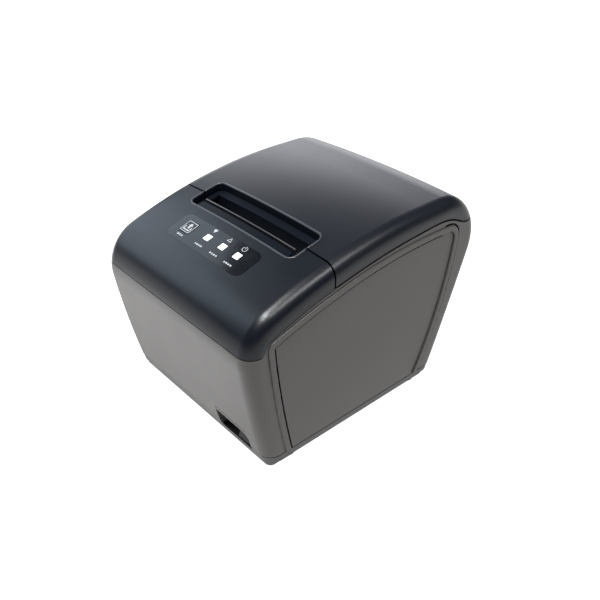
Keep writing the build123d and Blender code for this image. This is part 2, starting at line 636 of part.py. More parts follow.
def mechanism_screws():
    """Screws through the side plates into the ends of the cutter's bed."""
    outer = PLATE_X + PLATE_T
    screws = []
    for y in CUTTER_SCREW_Y:
        head = rod(1.8, (outer, outer + 1.3), y, CUTTER_SCREW_Z)
        screw = head + rod(0.95, (PLATE_X - 4, outer), y, CUTTER_SCREW_Z)
        screws += [screw, screw.mirror(Plane.YZ)]
    return joined(screws)


def platen_roller():
    sleeve = rod(PLATEN_R, (-41.0, 41.0), PLATEN_Y, PLATEN_Z)
    sleeve = fillet(sleeve.edges(), 0.4)
    return sleeve - rod(SHAFT_R, (-50, 50), PLATEN_Y, PLATEN_Z)


def platen_shaft():
    shaft = rod(SHAFT_R, (-45.9, 46.8), PLATEN_Y, PLATEN_Z)
    return shaft + rod(2.2, (-50.6, -45.9), PLATEN_Y, PLATEN_Z)


def platen_gear():
    return feed_gear(PLATEN_TEETH, PLATEN_Y, PLATEN_Z, -pi / 2, 2.2)


def platen_bearings():
    """Bushes that ride on the lid and drop into the side plates' notches."""
    bush = rod(4.0, (43.3, 46.0), PLATEN_Y, PLATEN_Z)
    bush = bush - rod(SHAFT_R + 0.03, (40, 50), PLATEN_Y, PLATEN_Z)
    return bush + bush.mirror(Plane.YZ)


def platen_bracket():
    """Sheet steel carrier of the platen and the fixed blade."""
    plate = block((-43.2, 43.2), (-27.2, -13.0), BRACKET_Z)
    lower = [(-13.0, 111), (-20.5, 99.5), (-30.0, 99.5), (-30.0, 106), (-27.2, 111)]
    ear_face = poly([(-27.2, 114.6), (-13.0, 114.6)] + lower)
    bore = Pos(PLATEN_Y, PLATEN_Z) * Circle(SHAFT_R + 0.05)
    ears = slab(ear_face - bore, (42.0, 43.2))
    plate = plate + ears + ears.mirror(Plane.YZ)
    for x in BRACKET_X:
        plate = plate - post(1.4, x, BRACKET_SCREW_Y, (100, 120))
    return plate


def bracket_screws():
    """Screws up through the bracket, the shim and the fixed blade into the lid."""
    heads = [post(2.4, x, BRACKET_SCREW_Y, (110.35, 111.55)) for x in BRACKET_X]
    shanks = [post(1.15, x, BRACKET_SCREW_Y, (111.55, 119.0)) for x in BRACKET_X]
    return joined(head + shank for head, shank in zip(heads, shanks))


def fixed_blade():
    blade = block((-41.8, 41.8), (-31.3, -15.0), (111.6, 112.4))
    for x in BRACKET_X:
        blade = blade - post(1.4, x, BRACKET_SCREW_Y, (100, 120))
    return blade


def blade_shim():
    """Packing strip between the fixed blade and its bracket."""
    strip = block((-41.8, 41.8), (-24.0, -15.0), (112.42, BRACKET_Z[0] - 0.02))
    for x in BRACKET_X:
        strip = strip - post(1.4, x, BRACKET_SCREW_Y, (100, 120))
    return strip


def cutter_frame():
    """Bed of the cutter with its two guide rails and the crank's stud."""
    bed = block((-43.9, 43.9), (-53.0, -35.4), (110.1, 112.35))
    rail = block((41.3, 43.9), (-53.0, -36.5), (112.0, 114.2)) - block((40, 42.2), (-60, -30), (0, 113.45))
    bed = bed + rail + rail.mirror(Plane.YZ)
    strap = block((CRANK_X - 11.4, CRANK_X + 11.4), (CRANK_Y - 1.2, CRANK_Y + 2.8), (105.4, 110.4))
    strap = strap - block((CRANK_X - 10.2, CRANK_X + 10.2), (-60, -30), (106.6, 110.1))
    bed = bed + strap - post(CRANK_ARM + 1.6, CRANK_X, CRANK_Y, (109.5, 120))
    bed = bed + post(2.0, CRANK_X, CRANK_Y, (106.0, 109.0))
    for y in CUTTER_SCREW_Y:
        for x in ((35.0, 44.0), (-44.0, -35.0)):
            bed = bed - rod(0.97, x, y, CUTTER_SCREW_Z)
    return bed


def moving_blade():
    """V-edged blade with a cross slot for the crank's pin."""
    plan = poly([(-41.0, -52.0), (41.0, -52.0), (41.0, -33.0), (0.0, -35.5), (-41.0, -33.0)])
    slot_y = CRANK_Y - CRANK_ARM
    plan = plan - Pos(CRANK_X, slot_y) * SlotCenterToCenter(6.0, 3.8)
    return Pos(0, 0, BLADE_Z) * extrude(plan, 0.8)


def crank_gear():
    face = gear_face(CRANK_TEETH, CUT_MODULE, CUT_ANGLE, 0.04) - Circle(2.03)
    gear = Pos(CRANK_X, CRANK_Y, 107.0) * extrude(face, 2.9)
    return gear + post(1.2, CRANK_X, CRANK_Y - CRANK_ARM, (109.0, 113.9))


def cutter_pinion():
    face = gear_face(CUT_PINION_TEETH, CUT_MODULE, CUT_ANGLE + pi + pi / CUT_PINION_TEETH, 0.04)
    pinion = Pos(CUT_MOTOR_X, CUT_MOTOR_Y, 107.2) * extrude(face - Circle(1.0), 2.4)
    return pinion + post(1.0, CUT_MOTOR_X, CUT_MOTOR_Y, (98.0, 109.8))


def cutter_motor():
    can = post(9.0, CUT_MOTOR_X, CUT_MOTOR_Y, (80.0, 104.8))
    can = fillet(can.edges(), 1.0)
    return can - post(1.04, CUT_MOTOR_X, CUT_MOTOR_Y, (97.5, 110))


def heat_sink():
    """Aluminium back of the print head, hung on its pivot pin."""
    foot = [(-32.9, 89.5), (-40.5, 89.5), (-40.5, 94.0), (-36.9, 94.0)]
    face = poly([(-36.9, 105.8), (-32.9, 105.8)] + foot)
    face = face - Pos(*HEAD_PIVOT) * Circle(1.55)
    return slab(face, (-42.5, 42.5))


def print_head():
    """Ceramic strip with the heating line."""
    return block((-40.0, 40.0), (-32.88, -32.06), (94.0, 105.6))


def head_pivot_pin():
    return rod(1.5, (-45.6, 45.6), *HEAD_PIVOT)


def head_springs():
    """Compression springs that press the head on the platen."""
    coils, wire, radius, length = 4, 0.4, 2.2, 5.8
    path = Helix(pitch=length / coils, height=length, radius=radius)
    section = Plane(origin=path @ 0, z_dir=path % 0) * Circle(wire)
    coil = sweep(section, path=path)
    return joined(Pos(x, -37.7, 101.0) * Rot(90, 0, 0) * coil for x in (-25.0, 25.0))


def feed_motor():
    """Stepper motor that turns the platen."""
    can = rod(17.5, (-43.9, -22.0), MOTOR_Y, MOTOR_Z)
    can = fillet(can.edges(), 1.2)
    return can - rod(1.55, (-44, -39.5), MOTOR_Y, MOTOR_Z)


def motor_pinion():
    phase = PINION_ANGLE + pi + pi / PINION_TEETH
    pinion = feed_gear(PINION_TEETH, MOTOR_Y, MOTOR_Z, phase, 1.5)
    return pinion + rod(1.5, (-50.0, -40.0), MOTOR_Y, MOTOR_Z)


def idler_gear():
    return feed_gear(IDLER_TEETH, PLATEN_Y, IDLER_Z, pi / 2 + pi / IDLER_TEETH, 2.03)


def idler_stud():
    return rod(2.0, (-50.3, -43.9), PLATEN_Y, IDLER_Z) + rod(3.2, (-51.0, -50.3), PLATEN_Y, IDLER_Z)


def paper_guide():
    """Bridge that leads the paper from the tub to the platen."""
    plate = block((-43.9, 43.9), (-31.3, -18.2), (92.3, 94.3))
    return plate - block((9.0, 21.0), (-29.0, -22.0), (90, 96))


def paper_sensor():
    return block((9.2, 20.8), (-28.8, -22.2), (89.5, 94.6))


# ---- power switch -------------------------------------------------------------------------
def switch_body():
    """Cradle of the power switch on the pocket's rear wall."""
    body = block((39.0, 53.0), (-72.8, -65.85), (6.6, 20.6))
    ear = Pos(ROCKER_Y, ROCKER_Z) * Circle(2.6) + Pos(-72.4, ROCKER_Z) * Rectangle(3.2, 5.2)
    ears = slab(ear, (39.0, 53.0))
    body = body + ears - rod(ROCKER_R + 0.3, (40.8, 51.2), ROCKER_Y, ROCKER_Z)
    return body - rod(1.02, (30, 60), ROCKER_Y, ROCKER_Z)


def power_rocker():
    """Rocker with a flat, slightly dished front, tipped to one side."""
    disc = Circle(ROCKER_R)
    front = poly([(-20, 20), (-3.9, 20), (-3.9, 5.2), (-3.0, 0), (-3.9, -5.2), (-3.9, -20), (-20, -20)])
    face = Pos(ROCKER_Y, ROCKER_Z) * Rot(0, 0, -8) * (disc - front)
    rocker = slab(face, ROCKER_X)
    pin = rod(1.0, (39.2, 52.8), ROCKER_Y, ROCKER_Z)
    return rocker + pin


# ---- electronics --------------------------------------------------------------------------
def main_board():
    board = block((-57.0, 57.0), (-32.0, 60.5), BOARD_Z)
    for x, y in BOARD_SPOTS:
        board = board - post(1.4, x, y, (0, 10))
    return board


def board_parts():
    """Chips, capacitors and connectors soldered to the main board."""
    top = BOARD_Z[1]
    shapes = [block((-12, 2), (-8, 6), (top, top + 1.6)), block((14, 24), (-4, 6), (top, top + 1.6))]
    shapes += [post(5.0, x, -22.0, (top, top + 9)) for x in (-40.0, -28.0)]
    shapes += [block((34, 46), (-14, 2), (top, top + 5)), block((-46, -34), (0, 14), (top, top + 7))]
    shapes.append(block((-15.5, 35.5), (-31, -27), (top, top + 4.5)))
    shapes.append(block((-50, -44), (24, 44), (top, top + 6)))
    return joined(shapes)


def board_screws():
    top = BOARD_Z[1]
    return joined(post(2.4, x, y, (top, top + 1.4)) + post(1.15, x, y, (3.0, top)) for x, y in BOARD_SPOTS)


def buzzer():
    can = post(5.0, 38.0, 18.0, (BOARD_Z[1], BOARD_Z[1] + 7.0))
    return can - post(1.2, 38.0, 18.0, (BOARD_Z[1] + 4, BOARD_Z[1] + 8))


def port_block(x, size, depth):
    """Body of a socket that stands on the board and reaches through the plate."""
    width, height = size
    face = IO_Y + 1.4
    return block((x - width / 2, x + width / 2), (face - depth, face), (BOARD_Z[1], BOARD_Z[1] + height))


def modular_socket(x, size, plug_width):
    """Socket for a telephone-style plug with its latch notch."""
    body = port_block(x, size, 17.0)
    low = BOARD_Z[1] + 2.4
    plug = block((x - plug_width / 2, x + plug_width / 2), (IO_Y - 11.0, IO_Y + 2), (low, low + 6.8))
    latch = block((x - 3.0, x + 3.0), (IO_Y - 8.0, IO_Y + 2), (low + 6.7, low + 8.6))
    return body - plug - latch


def drawer_socket():
    return modular_socket(DRAWER_X, DRAWER_SIZE, 9.8)


def network_socket():
    return modular_socket(LAN_X, LAN_SIZE, 11.9)


def usb_socket():
    body = port_block(USB_X, USB_SIZE, 16.0)
    mid = BOARD_Z[1] + 5.6
    hole = block((USB_X - 4.25, USB_X + 4.25), (IO_Y - 8.0, IO_Y + 2), (mid - 3.9, mid + 3.9))
    tongue = block((USB_X - 2.8, USB_X + 2.8), (IO_Y - 8.0, IO_Y + 0.4), (mid - 1.6, mid + 1.6))
    return body - hole + tongue


def power_inlet():
    """Three-pin inlet whose mouth has its two upper corners cut off."""
    body = port_block(POWER_X, POWER_SIZE, 13.0)
    low = BOARD_Z[1] + 3.2
    mouth = poly([(-4.8, 0), (4.8, 0), (4.8, 5.2), (3.0, 7.2), (-3.0, 7.2), (-4.8, 5.2)])
    body = body - extrude(Pos(POWER_X, IO_Y + 2, low) * (Plane.XZ * mouth), 9.0, dir=(0, -1, 0))
    for x in (-3.0, 0.0, 3.0):
        pin_x = (POWER_X + x - 0.5, POWER_X + x + 0.5)
        body = body + block(pin_x, (IO_Y - 8, IO_Y - 1), (low + 2.6, low + 3.8))
    return body


def serial_socket():
    """Nine-way socket with its flange, shell and jack screws."""
    mid = BOARD_Z[1] + 7.0
    body = block((SERIAL_X - 9.8, SERIAL_X + 9.8), (IO_Y - 9, IO_Y + 1.4), (BOARD_Z[1], mid + 5.6))
    flange = block((SERIAL_X - 15.4, SERIAL_X + 15.4), (IO_Y + 1.02, IO_Y + 1.8), (mid - 6.2, mid + 6.2))
    shell = make_face(Polyline((-8.4, 4.1), (8.4, 4.1), (7.0, -4.1), (-7.0, -4.1), close=True))
    shell = Pos(0, IO_Y + 1.6, 0) * (Plane.XZ * (Pos(SERIAL_X, mid) * fillet(shell.vertices(), 1.4)))
    socket = body + flange + extrude(shell, -5.2)
    for x in (SERIAL_X - 12.5, SERIAL_X + 12.5):
        hexagon = Plane.XZ * (Pos(x, mid) * RegularPolygon(2.7, 6))
        socket = socket + Pos(0, IO_Y + 1.7, 0) * extrude(hexagon, -4.2)
    for row, count in ((1.3, 5), (-1.3, 4)):
        for n in range(count):
            x = SERIAL_X + (n - (count - 1) / 2) * 2.7
            hole = ((x - 0.5, x + 0.5), (IO_Y + 3.0, IO_Y + 10), (mid + row - 0.5, mid + row + 0.5))
            socket = socket - block(*hole)
    return socket


def io_plate():
    """Sheet steel plate round the sockets."""
    plate = block((-57.4, 57.4), (IO_Y, IO_Y + 1.0), (4.6, 30.6))
    sockets = ((DRAWER_X, DRAWER_SIZE), (LAN_X, LAN_SIZE), (USB_X, USB_SIZE), (POWER_X, POWER_SIZE))
    for x, (width, height) in sockets + ((SERIAL_X, SERIAL_SIZE),):
        half = width / 2 + 0.2
        plate = plate - block((x - half, x + half), (50, 70), (0, BOARD_Z[1] + height + 0.2))
    return plate


def ribbon(points, x, thickness=0.3):
    """Flat cable that follows straight runs in the YZ plane."""
    there = list(points)
    face = offset(Polyline(*there), thickness / 2, side=Side.BOTH)
    return slab(make_face(face), x)


def head_ribbon():
    return ribbon([(-37.5, 89.0), (-37.5, 40.0), (-29.0, 20.0), (-29.0, 11.3)], (-14.0, 34.0))


PARTS = {
    "lower_body": lower_body,
    "base_pan": base_pan,
    "rubber_feet": rubber_feet,
    "base_screws": base_screws,
    "front_cover": front_cover,
    "lid_cover": lid_cover,
    "lid_liner": lid_liner,
    "hinge_pins": hinge_pins,
    "panel_overlay": panel_overlay,
    "feed_button": feed_button,
    "feed_switch": feed_switch,
    "led_windows": led_windows,
    "panel_board": panel_board,
    "panel_screws": panel_screws,
    "tear_bar": tear_bar,
    "paper_bucket": paper_bucket,
    "chassis_screws": chassis_screws,
    "near_end_sensor": near_end_sensor,
    "mechanism_frame": mechanism_frame,
    "mechanism_screws": mechanism_screws,
    "platen_roller": platen_roller,
    "platen_shaft": platen_shaft,
    "platen_gear": platen_gear,
    "platen_bearings": platen_bearings,
    "platen_bracket": platen_bracket,
    "bracket_screws": bracket_screws,
    "fixed_blade": fixed_blade,
    "blade_shim": blade_shim,
    "cutter_frame": cutter_frame,
    "moving_blade": moving_blade,
    "crank_gear": crank_gear,
    "cutter_pinion": cutter_pinion,
    "cutter_motor": cutter_motor,
    "heat_sink": heat_sink,
    "print_head": print_head,
    "head_pivot_pin": head_pivot_pin,
    "head_springs": head_springs,
    "feed_motor": feed_motor,
    "motor_pinion": motor_pinion,
    "idler_gear": idler_gear,
    "idler_stud": idler_stud,
    "paper_guide": paper_guide,
    "paper_sensor": paper_sensor,
    "switch_body": switch_body,
    "power_rocker": power_rocker,
    "main_board": main_board,
    "board_parts": board_parts,
    "board_screws": board_screws,
    "buzzer": buzzer,
    "drawer_socket": drawer_socket,
    "network_socket": network_socket,
    "usb_socket": usb_socket,
    "power_inlet": power_inlet,
    "serial_socket": serial_socket,
    "io_plate": io_plate,
    "head_ribbon": head_ribbon,
}


def main():
    os.makedirs("parts", exist_ok=True)
    for name, make in PARTS.items():
        export_step(make(), f"parts/{name}.step")


main()
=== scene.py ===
import json
from math import asin, cos, pi, radians, sin, sqrt

import bmesh
import bpy
from mathutils import Matrix, Vector


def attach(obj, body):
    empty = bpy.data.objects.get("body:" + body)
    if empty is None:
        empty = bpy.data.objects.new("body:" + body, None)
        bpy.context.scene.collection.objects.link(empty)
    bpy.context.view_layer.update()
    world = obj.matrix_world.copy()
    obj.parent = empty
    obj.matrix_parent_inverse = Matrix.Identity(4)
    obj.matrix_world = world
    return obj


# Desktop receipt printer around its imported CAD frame. Metres, +Z up, the front faces -Y.

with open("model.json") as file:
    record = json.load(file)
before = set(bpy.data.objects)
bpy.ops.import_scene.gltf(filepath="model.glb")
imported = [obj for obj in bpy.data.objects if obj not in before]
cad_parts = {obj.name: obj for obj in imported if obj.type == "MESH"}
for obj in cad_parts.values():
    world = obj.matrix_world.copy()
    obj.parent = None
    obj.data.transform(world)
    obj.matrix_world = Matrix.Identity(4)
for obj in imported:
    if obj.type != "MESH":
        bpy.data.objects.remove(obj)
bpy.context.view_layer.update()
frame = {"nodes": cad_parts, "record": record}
NODES = frame["nodes"]
MM = 0.001

# Top surface, mm: the crown line is an arc in the middle plane, and the surface is that line
# turned about an axis along Y at the height DOME_Z.
CROWN_Y, CROWN_Z, CROWN_RADIUS = 44.9105, -200.6497, 337.3131
DOME_Z = -930.0

# Paper tray in the top, mm: its middle, and its half size to the middle of the rim.
TRAY_MIDDLE = (0.0, -33.65)
TRAY_HALF = (48.0, 12.85)

# ---- camera -------------------------------------------------------------------------------
CAMERA_AT = Vector((0.298335, -0.273680, 0.317351))
RIGHT = Vector((0.67070568, 0.74111907, 0.02994)).normalized()
FORWARD = Vector((-0.61065257, 0.57464665, -0.54487124)).normalized()
LENS_MM = 42.99

camera_data = bpy.data.cameras.new("camera")
camera_data.sensor_width = 36.0
camera_data.lens = LENS_MM
camera_data.clip_start = 0.01
camera_data.dof.use_dof = False
camera = bpy.data.objects.new("camera", camera_data)
up = RIGHT.cross(FORWARD).normalized()
camera.matrix_world = Matrix.Translation(CAMERA_AT) @ Matrix((RIGHT, up, -FORWARD)).transposed().to_4x4()
bpy.context.scene.collection.objects.link(camera)
bpy.context.scene.camera = camera


# ---- node helpers -------------------------------------------------------------------------
def new_material(name):
    material = bpy.data.materials.new(name)
    material.use_nodes = True
    tree = material.node_tree
    tree.nodes.clear()
    out = tree.nodes.new("ShaderNodeOutputMaterial")
    shader = tree.nodes.new("ShaderNodeBsdfPrincipled")
    tree.links.new(shader.outputs["BSDF"], out.inputs["Surface"])
    return material, tree, shader


def object_coords(tree, scale=(1.0, 1.0, 1.0)):
    coords = tree.nodes.new("ShaderNodeTexCoord")
    mapping = tree.nodes.new("ShaderNodeMapping")
    mapping.inputs["Scale"].default_value = scale
    tree.links.new(coords.outputs["Object"], mapping.inputs["Vector"])
    return mapping.outputs["Vector"]


def noise(tree, vector, scale, detail=2.0, roughness=0.5):
    node = tree.nodes.new("ShaderNodeTexNoise")
    node.inputs["Scale"].default_value = scale
    node.inputs["Detail"].default_value = detail
    node.inputs["Roughness"].default_value = roughness
    tree.links.new(vector, node.inputs["Vector"])
    return node.outputs["Fac"]


def remap(tree, value, low, high, out_low, out_high):
    node = tree.nodes.new("ShaderNodeMapRange")
    for key, number in (("From Min", low), ("From Max", high), ("To Min", out_low), ("To Max", out_high)):
        node.inputs[key].default_value = number
    tree.links.new(value, node.inputs["Value"])
    return node.outputs["Result"]


def math_node(tree, operation, a, b=0.0):
    node = tree.nodes.new("ShaderNodeMath")
    node.operation = operation
    for socket, value in zip(node.inputs, (a, b)):
        if isinstance(value, (int, float)):
            socket.default_value = value
        else:
            tree.links.new(value, socket)
    return node.outputs["Value"]


def mix_colour(tree, factor, a, b):
    node = tree.nodes.new("ShaderNodeMix")
    node.data_type = "RGBA"
    tree.links.new(factor, node.inputs[0])
    for socket, value in ((node.inputs[6], a), (node.inputs[7], b)):
        if isinstance(value, tuple):
            socket.default_value = (*value, 1.0)
        else:
            tree.links.new(value, socket)
    return node.outputs[2]


def bump(tree, height, strength, distance):
    node = tree.nodes.new("ShaderNodeBump")
    node.inputs["Strength"].default_value = strength
    node.inputs["Distance"].default_value = distance
    tree.links.new(height, node.inputs["Height"])
    return node.outputs["Normal"]


def edge_mask(tree, radius):
    """1 on sharp edges and 0 elsewhere, from the difference a small bevel makes."""
    bevel = tree.nodes.new("ShaderNodeBevel")
    bevel.samples = 4
    bevel.inputs["Radius"].default_value = radius
    geometry = tree.nodes.new("ShaderNodeNewGeometry")
    dot = tree.nodes.new("ShaderNodeVectorMath")
    dot.operation = "DOT_PRODUCT"
    tree.links.new(bevel.outputs["Normal"], dot.inputs[0])
    tree.links.new(geometry.outputs["Normal"], dot.inputs[1])
    return remap(tree, dot.outputs["Value"], 0.995, 0.8, 0.0, 1.0)


def openness(tree, distance):
    """1 on open faces, falling towards 0 in grooves and seams narrower than the distance."""
    node = tree.nodes.new("ShaderNodeAmbientOcclusion")
    node.samples = 6
    node.inputs["Distance"].default_value = distance
    return remap(tree, node.outputs["AO"], 0.45, 0.86, 0.0, 1.0)


def tinted(colour, factor):
    return tuple(min(1.0, c * factor) for c in colour)


# ---- materials ----------------------------------------------------------------------------
EDGE_RADIUS = 0.0006
SEAM_REACH = 0.0024  # grooves and seams narrower than this are darkened as painted shade
SEAM_PAINTED_SHADE = 0.1
SEAM_SHADED_GLOSS, OPEN_GLOSS = 0.06, 0.5  # specular level in a seam, where it is dimmed as painted shade, and on an open face
TRAY_SHADED_GLOSS = 0.3  # share of the gloss that is left down in the paper tray, dimmed there as painted shade
TRAY_TOP, TRAY_DEEP = 0.25, 0.9  # depths below the crown between which that gloss fades, mm
TRAY_MARGIN = 0.3  # past the middle of the rim, mm


def tray_depth(tree):
    """1 inside the paper tray, below the crown, and 0 on the crown and everywhere else."""
    split = tree.nodes.new("ShaderNodeSeparateXYZ")
    tree.links.new(object_coords(tree, (1 / MM, 1 / MM, 1 / MM)), split.inputs[0])
    x, y, z = (split.outputs[key] for key in "XYZ")
    along = math_node(tree, "POWER", math_node(tree, "SUBTRACT", y, CROWN_Y), 2.0)
    ridge = math_node(tree, "SQRT", math_node(tree, "SUBTRACT", CROWN_RADIUS**2, along))
    ridge = math_node(tree, "ADD", ridge, CROWN_Z - DOME_Z)
    across = math_node(tree, "MULTIPLY", x, x)
    squared = math_node(tree, "SUBTRACT", math_node(tree, "MULTIPLY", ridge, ridge), across)
    crown = math_node(tree, "ADD", math_node(tree, "SQRT", squared), DOME_Z)
    below = remap(tree, math_node(tree, "SUBTRACT", crown, z), TRAY_TOP, TRAY_DEEP, 0.0, 1.0)
    from_middle = math_node(tree, "ABSOLUTE", math_node(tree, "SUBTRACT", y, TRAY_MIDDLE[1]))
    in_depth = math_node(tree, "LESS_THAN", from_middle, TRAY_HALF[1] + TRAY_MARGIN)
    in_width = math_node(tree, "LESS_THAN", math_node(tree, "ABSOLUTE", x), TRAY_HALF[0] + TRAY_MARGIN)
    return math_node(tree, "MULTIPLY", below, math_node(tree, "MULTIPLY", in_depth, in_width))


def plastic(
    name,
    colour,
    rough,
    grain=1800.0,
    grain_depth=0.00003,
    specks=0.12,
    spread=0.08,
    ior=1.5,
    smear=0.04,
    wear_and_highlight=1.9,
):
    """Moulded plastic with a fine spark texture, faint flow tone, edges lightened by wear and by a
    painted highlight, and painted shade in its seams.

    grain and grain_depth are the texture's noise scale and height, specks the share of light
    flecks, spread the depth of the flow tone, smear how far handling changes the roughness,
    and rubbed how much lighter an edge is, partly as wear and partly as a painted highlight.
    """
    material, tree, shader = new_material(name)
    vector = object_coords(tree)
    spark = noise(tree, vector, grain, 3.0, 0.65)
    flow = noise(tree, vector, 14.0, 3.0)
    handled = noise(tree, vector, 55.0, 4.0, 0.6)
    tone = remap(tree, flow, 0.3, 0.7, 0.0, 1.0)
    body = mix_colour(tree, tone, tinted(colour, 1 - spread), tinted(colour, 1 + spread))
    fleck = remap(tree, spark, 0.42, 0.68, 0.0, specks)
    body = mix_colour(tree, fleck, body, tinted(colour, 2.2))
    uneven = remap(tree, handled, 0.4, 0.7, 0.0, 0.45)
    # edges are lightened, partly as wear and partly as a painted highlight
    worn_and_highlit = math_node(tree, "MULTIPLY", edge_mask(tree, EDGE_RADIUS), uneven)
    body = mix_colour(tree, worn_and_highlit, body, tinted(colour, wear_and_highlight))
    # painted shade: the colour darkens in seams and grooves, following the occlusion mask
    open_face = openness(tree, SEAM_REACH)
    body = mix_colour(tree, open_face, tinted(colour, SEAM_PAINTED_SHADE), body)
    tree.links.new(body, shader.inputs["Base Color"])
    patchy = remap(tree, handled, 0.3, 0.7, rough - smear, rough + smear)
    polished = math_node(tree, "MULTIPLY", worn_and_highlit, 0.12)
    tree.links.new(math_node(tree, "SUBTRACT", patchy, polished), shader.inputs["Roughness"])
    shader.inputs["IOR"].default_value = ior
    tree.links.new(bump(tree, spark, 0.6, grain_depth), shader.inputs["Normal"])
    # painted shade as well: the specular level is dimmed in seams and grooves
    level = remap(tree, open_face, 0.0, 1.0, SEAM_SHADED_GLOSS, OPEN_GLOSS)
    # painted shade: the gloss is dimmed down in the paper tray
    if name in ("cover_plastic", "lid_plastic"):
        tray_shade = remap(tree, tray_depth(tree), 0.0, 1.0, 1.0, TRAY_SHADED_GLOSS)
        level = math_node(tree, "MULTIPLY", level, tray_shade)
    tree.links.new(level, shader.inputs["Specular IOR Level"])
    return material


def gloss(name, colour, rough=0.12, ior=1.5):
    """Printed film or polished plastic with faint orange peel and dust."""
    material, tree, shader = new_material(name)
    vector = object_coords(tree)
    peel = noise(tree, vector, 420.0, 2.0)
    dust = noise(tree, vector, 2600.0, 2.0, 0.7)
    dusty = tinted(tuple(c + 0.02 for c in colour), 2.5)
    body = mix_colour(tree, remap(tree, dust, 0.66, 0.74, 0.0, 0.25), colour, dusty)
    tree.links.new(body, shader.inputs["Base Color"])
    smears = remap(tree, noise(tree, vector, 70.0, 4.0), 0.3, 0.7, rough * 0.75, rough * 1.5)
    tree.links.new(smears, shader.inputs["Roughness"])
    shader.inputs["IOR"].default_value = ior
    tree.links.new(bump(tree, peel, 0.25, 0.00004), shader.inputs["Normal"])
    return material


def metal(name, colour, rough, brushed=(1.0, 1.0, 1.0), lines=900.0, depth=0.00001):
    """Bare or plated metal; unequal brushed scales draw the grain out along an axis."""
    material, tree, shader = new_material(name)
    shader.inputs["Metallic"].default_value = 1.0
    grain = noise(tree, object_coords(tree, brushed), lines, 3.0, 0.6)
    vector = object_coords(tree)
    tarnish = noise(tree, vector, 90.0, 4.0, 0.6)
    body = mix_colour(tree, remap(tree, tarnish, 0.35, 0.7, 0.0, 1.0), colour, tinted(colour, 0.78))
    body = mix_colour(tree, remap(tree, grain, 0.4, 0.7, 0.0, 0.25), body, tinted(colour, 1.2))
    tree.links.new(body, shader.inputs["Base Color"])
    streaked = remap(tree, grain, 0.3, 0.7, rough - 0.05, rough + 0.07)
    dulled = remap(tree, tarnish, 0.4, 0.8, 0.0, 0.1)
    tree.links.new(math_node(tree, "ADD", streaked, dulled), shader.inputs["Roughness"])
    tree.links.new(bump(tree, grain, 0.5, depth), shader.inputs["Normal"])
    return material


def rubber(name, colour, rough=0.75):
    """Matte rubber with a pale bloom and fine pores."""
    material, tree, shader = new_material(name)
    vector = object_coords(tree)
    bloom = noise(tree, vector, 160.0, 4.0, 0.6)
    pores = noise(tree, vector, 3000.0, 2.0, 0.6)
    body = mix_colour(tree, remap(tree, bloom, 0.35, 0.7, 0.0, 1.0), colour, tinted(colour, 1.6))
    tree.links.new(body, shader.inputs["Base Color"])
    tree.links.new(remap(tree, bloom, 0.3, 0.7, rough - 0.08, rough + 0.1), shader.inputs["Roughness"])
    tree.links.new(bump(tree, pores, 0.5, 0.00004), shader.inputs["Normal"])
    return material


SOLDER_MASK = ((0.012, 0.10, 0.045), (0.018, 0.14, 0.06))  # its darkest and lightest tone
TRACK = (0.05, 0.22, 0.09)


def circuit_board(name):
    """Green solder mask with a grid of fine copper tracks showing through."""
    material, tree, shader = new_material(name)
    vector = object_coords(tree)
    cells = tree.nodes.new("ShaderNodeTexBrick")
    cells.inputs["Scale"].default_value = 170.0
    cells.inputs["Mortar Size"].default_value = 0.012
    cells.inputs["Color1"].default_value = (0.0, 0.0, 0.0, 1.0)
    cells.inputs["Color2"].default_value = (0.35, 0.35, 0.35, 1.0)
    cells.inputs["Mortar"].default_value = (1.0, 1.0, 1.0, 1.0)
    tree.links.new(vector, cells.inputs["Vector"])
    mottled = noise(tree, vector, 60.0, 3.0)
    cloudy = remap(tree, mottled, 0.3, 0.7, 0.0, 1.0)
    mask = mix_colour(tree, cloudy, *SOLDER_MASK)
    body = mix_colour(tree, remap(tree, cells.outputs["Color"], 0.3, 1.0, 0.0, 0.55), mask, TRACK)
    tree.links.new(body, shader.inputs["Base Color"])
    tree.links.new(remap(tree, mottled, 0.3, 0.7, 0.28, 0.42), shader.inputs["Roughness"])
    tree.links.new(bump(tree, cells.outputs["Color"], 0.3, 0.00003), shader.inputs["Normal"])
    return material


def lens(name, colour):
    """White diffusing light window, with a faint painted glow from emission."""
    material, tree, shader = new_material(name)
    vector = object_coords(tree)
    haze = noise(tree, vector, 700.0, 3.0)
    body = mix_colour(tree, remap(tree, haze, 0.3, 0.7, 0.0, 1.0), colour, tinted(colour, 0.9))
    tree.links.new(body, shader.inputs["Base Color"])
    tree.links.new(remap(tree, haze, 0.3, 0.7, 0.22, 0.34), shader.inputs["Roughness"])
    shader.inputs["Subsurface Weight"].default_value = 0.2
    shader.inputs["Subsurface Radius"].default_value = (0.002, 0.002, 0.002)
    # painted glow: the window emits faintly though it is no lamp
    shader.inputs["Emission Color"].default_value = (1.0, 1.0, 1.0, 1.0)
    shader.inputs["Emission Strength"].default_value = 0.25
    tree.links.new(bump(tree, haze, 0.2, 0.00002), shader.inputs["Normal"])
    return material


SATIN = {"grain": 2600.0, "grain_depth": 0.000012, "specks": 0.06}
TEXTURED = {"grain": 1500.0, "grain_depth": 0.00004, "specks": 0.16}
EVEN = 0.012  # smear of clean plastic
LONG_X = (0.03, 1.0, 1.0)  # grain drawn out along X

COVER = (0.0026, 0.004, 0.007)
LID = (0.0034, 0.0048, 0.0078)
BODY = (0.050, 0.047, 0.0455)

